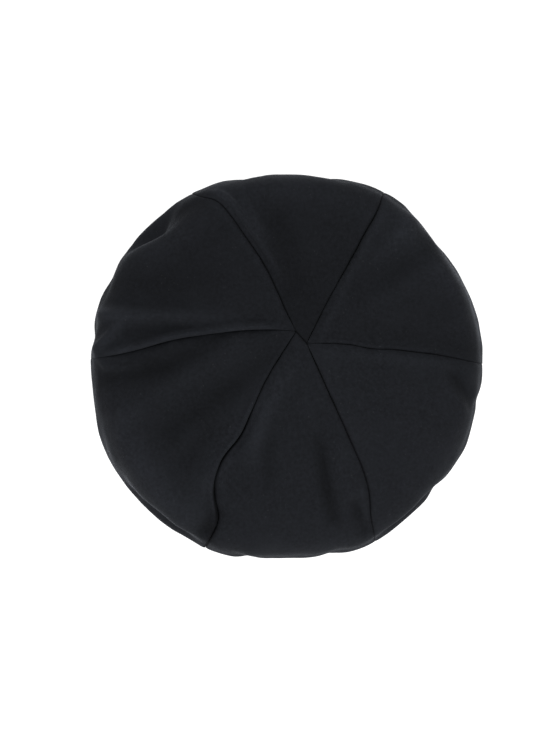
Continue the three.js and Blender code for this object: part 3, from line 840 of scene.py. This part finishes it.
def new_material(name, surface):
    material = bpy.data.materials.new(name)
    material.use_nodes = True
    tree = material.node_tree
    tree.nodes.clear()
    output = tree.nodes.new("ShaderNodeOutputMaterial")
    shader = add_node(tree, "BsdfPrincipled", surface)
    tree.links.new(shader.outputs["BSDF"], output.inputs["Surface"])
    return material, tree, shader


def feed(tree, socket, value):
    """Sets a socket to a value, or links it to another node's output."""
    if hasattr(value, "is_output"):
        tree.links.new(value, socket)
    else:
        socket.default_value = value


def add_node(tree, kind, values=None, **settings):
    node = tree.nodes.new("ShaderNode" + kind)
    for name, value in settings.items():
        setattr(node, name, value)
    for name, value in (values or {}).items():
        feed(tree, node.inputs[name], value)
    return node


def noise(tree, vector, layer):
    moved = add_node(tree, "Mapping", {"Vector": vector, "Location": layer.offset})
    values = {"Scale": layer.scale, "Detail": layer.detail, "Roughness": layer.roughness}
    return add_node(tree, "TexNoise", {"Vector": moved.outputs["Vector"], **values}).outputs["Fac"]


def remap(tree, value, low, high, to_high=1):
    values = {"Value": value, "From Min": low, "From Max": high, "To Min": 0, "To Max": to_high}
    return add_node(tree, "MapRange", values).outputs["Result"]


def blend_colour(tree, share, first, second):
    node = add_node(tree, "Mix", data_type="RGBA")
    for place, value in ((MIX_SHARE, share), (MIX_FIRST, first), (MIX_SECOND, second)):
        feed(tree, node.inputs[place], value)
    return node.outputs[MIX_RESULT]


def maths(tree, operation, first, second):
    return add_node(tree, "Math", {0: first, 1: second}, operation=operation).outputs[0]


def tint(colour, share):
    return (*(channel * share for channel in colour), 1)


def wool_colour(tree, cut, place, clumps, colour):
    """The wool's mottled colour, with stray fibres and specks of lint, times the painted light and
    shade of its tone attribute.
    """
    stretch = {"Vector": cut, "Scale": FIBRE_STRETCH, "Rotation": (0, 0, FIBRE_TURN)}
    fibres = add_node(tree, "Mapping", stretch).outputs["Vector"]
    patches = noise(tree, place, PATCHES)
    strands = noise(tree, fibres, STRANDS)
    shade = tint(colour, DEEP_TINT)
    for layer, look in ((clumps, CLUMP_SHADE), (patches, PATCH_SHADE), (strands, STRAND_SHADE)):
        share = remap(tree, layer, look.low, look.high, look.most)
        shade = blend_colour(tree, share, shade, tint(colour, look.tint))
    specks = {"Vector": place, "Scale": LINT_SCALE, "Randomness": 1}
    distance = add_node(tree, "TexVoronoi", specks, feature="F1").outputs["Distance"]
    rare = remap(tree, noise(tree, place, LINT_PATCHES), *LINT_RARITY)
    lint = maths(tree, "MULTIPLY", remap(tree, distance, *LINT_EDGE), rare)
    shade = blend_colour(tree, maths(tree, "MULTIPLY", lint, LINT_SHARE), shade, LINT_COLOUR)
    # The tone attribute carries painted light and shade, which scales the colour.
    tone = add_node(tree, "Attribute", attribute_name="tone").outputs["Fac"]
    return add_node(tree, "VectorMath", {0: shade, "Scale": tone}, operation="SCALE").outputs[0]


def fulled_wool(name, cloth_colour, nap):
    """Dense black wool: a fine twill under a short brushed nap."""
    material, tree, shader = new_material(name, WOOL_SURFACE)
    cut = add_node(tree, "TexCoord").outputs["UV"]
    place = add_node(tree, "TexCoord").outputs["Object"]
    weave = add_node(tree, "Mapping", {"Vector": cut, "Rotation": (0, 0, TWILL_TURN)})
    threads = {"Vector": weave.outputs["Vector"], **TWILL}
    twill = add_node(tree, "TexWave", threads, wave_type="BANDS").outputs["Fac"]
    clumps = noise(tree, place, CLUMPS)
    feed(tree, shader.inputs["Base Color"], wool_colour(tree, cut, place, clumps, cloth_colour))
    feed(tree, shader.inputs["Sheen Weight"], nap)
    height = maths(tree, "MULTIPLY", noise(tree, place, FUZZ), FUZZ_RELIEF)
    for layer, relief in ((clumps, CLUMP_RELIEF), (twill, TWILL_RELIEF)):
        height = maths(tree, "ADD", height, maths(tree, "MULTIPLY", layer, relief))
    bump = add_node(tree, "Bump", {"Height": height, **RELIEF})
    feed(tree, shader.inputs["Normal"], bump.outputs["Normal"])
    return material


# ---- Settings ----


class BeanieCloth(bpy.types.PropertyGroup):
    """The hat's cloth"""

    gore_thickness: FloatProperty(
        name="Gore thickness",
        description="Thickness of the gores' cloth",
        default=1.6 * MM,
        min=0.8 * MM,
        max=2 * MM,
        unit="LENGTH",
    )
    band_thickness: FloatProperty(
        name="Band thickness",
        description="Thickness of one layer of the folded headband",
        default=1.35 * MM,
        min=0.6 * MM,
        max=1.45 * MM,
        unit="LENGTH",
    )
    gore_colour: FloatVectorProperty(
        name="Gore colour",
        description="Colour of the gores' wool",
        default=(0.0056, 0.0062, 0.0077),
        min=0,
        max=1,
        subtype="COLOR",
    )
    band_colour: FloatVectorProperty(
        name="Band colour",
        description="Colour of the headband's wool",
        default=(0.0051, 0.0057, 0.0071),
        min=0,
        max=1,
        subtype="COLOR",
    )
    nap: FloatProperty(
        name="Nap",
        description="How much the brushed nap catches grazing light",
        default=0.12,
        min=0,
        max=1,
        subtype="FACTOR",
    )


class BeanieStage(bpy.types.PropertyGroup):
    """The table, lights and camera"""

    floor_size: FloatProperty(
        name="Floor size",
        description="Width of the pale floor",
        default=24,
        min=1,
        unit="LENGTH",
    )
    floor_colour: FloatVectorProperty(
        name="Floor colour",
        description="Colour of the floor",
        default=(0.5, 0.5, 0.5),
        min=0,
        max=1,
        subtype="COLOR",
    )
    floor_glow: FloatProperty(
        name="Floor glow",
        description="How brightly the floor is lit from below",
        default=0.75,
        min=0,
    )
    key_power: FloatProperty(
        name="Key light power",
        description="Power of the soft light at the hat's front",
        default=78,
        min=0,
        unit="POWER",
    )
    back_power: FloatProperty(
        name="Back light power",
        description="Power of the soft light behind the hat",
        default=42,
        min=0,
        unit="POWER",
    )
    daylight: FloatProperty(
        name="Daylight",
        description="Strength of the even light from all round",
        default=0.64,
        min=0,
    )
    camera_height: FloatProperty(
        name="Camera height",
        description="Height of the camera above the table",
        default=2.65,
        min=0.5,
        unit="LENGTH",
    )
    lens: FloatProperty(
        name="Lens",
        description="Focal length of the camera, in millimetres",
        default=180,
        min=20,
    )


# ---- Operators ----


class BEANIE_OT_gores(bpy.types.Operator):
    """Sew the six gores of the crown"""

    bl_idname = "beanie.gores"
    bl_label = "Crown Gores"

    def execute(self, context):
        settings = context.scene.beanie_cloth
        wool = fulled_wool("fulled wool", settings.gore_colour, settings.nap)
        # A copy of the wool with no sheen, for the grooves: painted shade.
        groove_shade = fulled_wool("groove shade wool", settings.gore_colour, 0)
        for index, gore in enumerate(GORES):
            points, cut, tone, sunk, flat, area = gore_cloth(index, settings.gore_thickness / MM)
            piece = shape_cloth(gore.name + "_cloth", points, cut, (wool, groove_shade), tone, sunk)
            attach(piece, BODY)
            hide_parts(gore.name)
            flat = tuple(float(side) * MM for side in flat)
            area = float(area) * MM * MM
        return {"FINISHED"}


class BEANIE_OT_headband(bpy.types.Operator):
    """Fold the strip of the headband and join its ends"""

    bl_idname = "beanie.headband"
    bl_label = "Headband"

    def execute(self, context):
        settings = context.scene.beanie_cloth
        wool = fulled_wool("band wool", settings.band_colour, settings.nap)
        points, cut, flat = band_cloth(settings.band_thickness / MM)
        piece = shape_cloth("headband_cloth", points, cut, (wool,))
        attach(piece, BODY)
        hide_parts("headband")
        return {"FINISHED"}


# ---- Stage ----

FLOOR_DROP = 0.0003  # how far the floor lies below the hat, in metres
KEY_LIGHT_PLACE = (0.7, -1.95, 1.35)
BACK_LIGHT_PLACE = (-0.7, 2.0, 1.1)
LIGHT_SIZE = 1.2
LIGHT_AIM = (0, 0, 0.03)
CAMERA_OVER = (-0.0079, -0.0004)  # the point on the table that the camera looks straight down on
SENSOR_WIDTH = 36
CAMERA_SIGHT = 100  # how far the camera sees, in metres


def floor(settings):
    bpy.ops.object.select_all(action="DESELECT")
    bpy.ops.mesh.primitive_plane_add(size=settings.floor_size, location=(0, 0, -FLOOR_DROP))
    piece = bpy.context.object
    piece.name = "floor"
    material, _, shader = new_material("pale floor", FLOOR_SURFACE)
    shader.inputs["Base Color"].default_value = (*settings.floor_colour, 1)
    shader.inputs["Emission Strength"].default_value = settings.floor_glow
    piece.data.materials.append(material)


def soft_light(name, place, power):
    bpy.ops.object.select_all(action="DESELECT")
    bpy.ops.object.light_add(type="AREA", location=place)
    lamp = bpy.context.object
    lamp.name = name
    lamp.data.size = LIGHT_SIZE
    lamp.data.energy = power
    lamp.rotation_euler = (Vector(LIGHT_AIM) - Vector(place)).to_track_quat("-Z", "Y").to_euler()


def even_daylight(strength):
    world = bpy.data.worlds.new("even daylight")
    world.use_nodes = True
    sky = world.node_tree.nodes["Background"]
    sky.inputs["Color"].default_value = (1, 1, 1, 1)
    sky.inputs["Strength"].default_value = strength
    return world


def camera(settings):
    bpy.ops.object.select_all(action="DESELECT")
    bpy.ops.object.camera_add(location=(*CAMERA_OVER, settings.camera_height), rotation=(0, 0, 0))
    eye = bpy.context.object
    eye.name = "camera"
    eye.data.lens = settings.lens
    eye.data.sensor_width = SENSOR_WIDTH
    eye.data.clip_end = CAMERA_SIGHT
    eye.data.dof.use_dof = False
    return eye


class BEANIE_OT_stage(bpy.types.Operator):
    """Set up the pale floor, the soft lights and the camera"""

    bl_idname = "beanie.stage"
    bl_label = "Stage"

    def execute(self, context):
        scene = context.scene
        settings = scene.beanie_stage
        floor(settings)
        soft_light("key light", KEY_LIGHT_PLACE, settings.key_power)
        soft_light("back light", BACK_LIGHT_PLACE, settings.back_power)
        scene.world = even_daylight(settings.daylight)
        scene.view_settings.view_transform = "Standard"
        scene.view_settings.look = "None"
        scene.camera = camera(settings)
        return {"FINISHED"}


class BEANIE_PT_panel(bpy.types.Panel):
    """The hat's settings and steps"""

    bl_label = "Slouch Beanie"
    bl_idname = "BEANIE_PT_panel"
    bl_space_type = "VIEW_3D"
    bl_region_type = "UI"
    bl_category = "Beanie"

    def draw(self, context):
        for settings in (context.scene.beanie_cloth, context.scene.beanie_stage):
            box = self.layout.box()
            for name in settings.__annotations__:
                box.prop(settings, name)
        for operator in OPERATORS:
            self.layout.operator(operator.bl_idname)


OPERATORS = (BEANIE_OT_headband, BEANIE_OT_gores, BEANIE_OT_stage)
CLASSES = (BeanieCloth, BeanieStage, *OPERATORS, BEANIE_PT_panel)


def register():
    for item in CLASSES:
        bpy.utils.register_class(item)
    bpy.types.Scene.beanie_cloth = PointerProperty(type=BeanieCloth)
    bpy.types.Scene.beanie_stage = PointerProperty(type=BeanieStage)


def unregister():
    del bpy.types.Scene.beanie_stage
    del bpy.types.Scene.beanie_cloth
    for item in reversed(CLASSES):
        bpy.utils.unregister_class(item)


def main():
    register()
    bpy.ops.beanie.headband()
    bpy.ops.beanie.gores()
    bpy.ops.beanie.stage()


if __name__ == "__main__":
    main()
